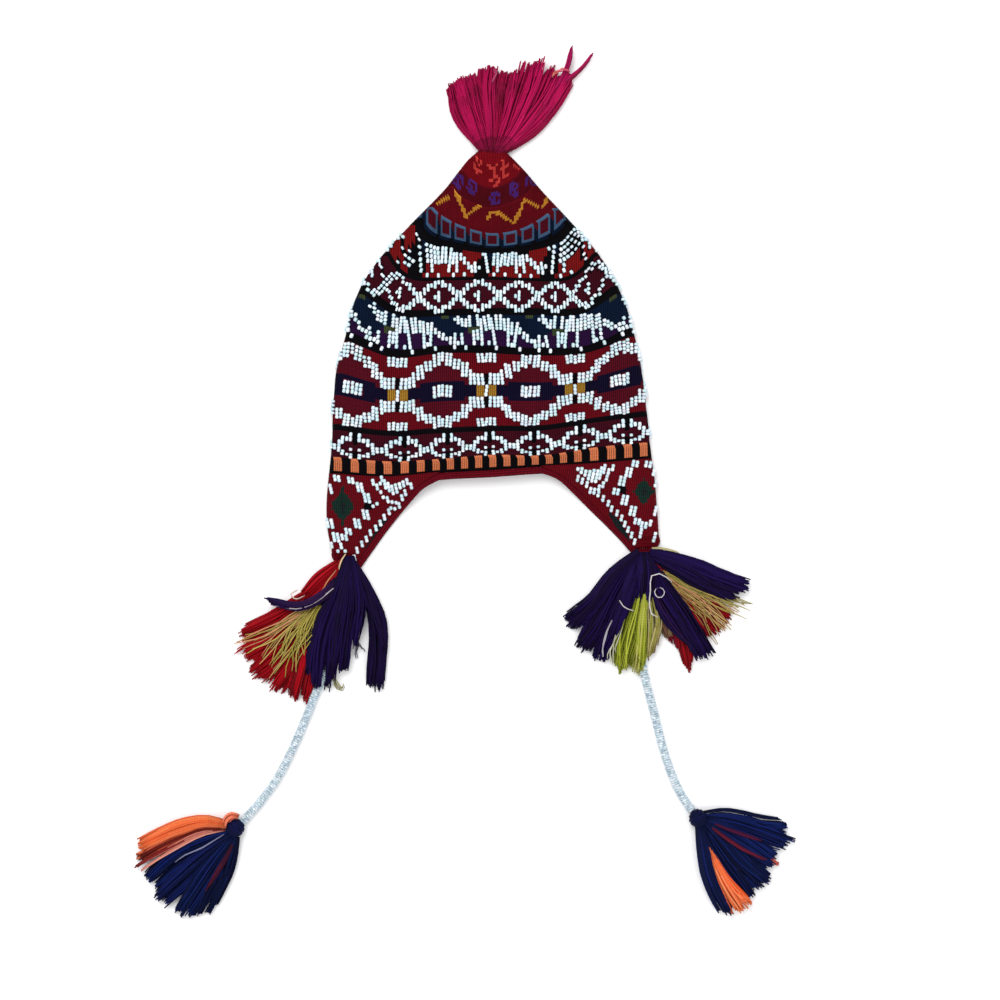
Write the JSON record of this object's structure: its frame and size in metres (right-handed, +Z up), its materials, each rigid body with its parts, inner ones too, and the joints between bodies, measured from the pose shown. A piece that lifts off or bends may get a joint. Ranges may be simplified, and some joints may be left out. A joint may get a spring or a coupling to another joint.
{
  "type": "chullo hat",
  "caption": "Knitted Andean chullo hat laid flat, with seed bead bands, two ear flaps, beaded ties and yarn tassels.",
  "frame": {"origin": "on the surface that the hat lies on, under the middle line of the back panel, 80 mm above the rim", "axes": "+Z up, out of the front panel; +Y towards the top of the hat; +X to the right as seen from the front"},
  "size_m": [0.5257, 0.6859, 0.0243],
  "materials": {
    "beaded_knit": "fine crimson, maroon and navy wool knit",
    "edging_wool": "dark crimson knit",
    "crimson_yarn": "soft crimson yarn",
    "indigo_yarn": "indigo, red and olive yarn",
    "navy_yarn": "navy and orange yarn",
    "white_beads": "glossy opaque white seed beads"
  },
  "bodies": {
    "root": {"crown": "beaded_knit", "ear_flap_left": "beaded_knit", "ear_flap_right": "beaded_knit", "rim_edging": "edging_wool", "top_tassel": "crimson_yarn", "flap_tassel_left": "indigo_yarn", "flap_tassel_right": "indigo_yarn", "tie_left": "white_beads", "tie_right": "white_beads", "end_tassel_left": "navy_yarn", "end_tassel_right": "navy_yarn"}
  },
  "joints": []
}
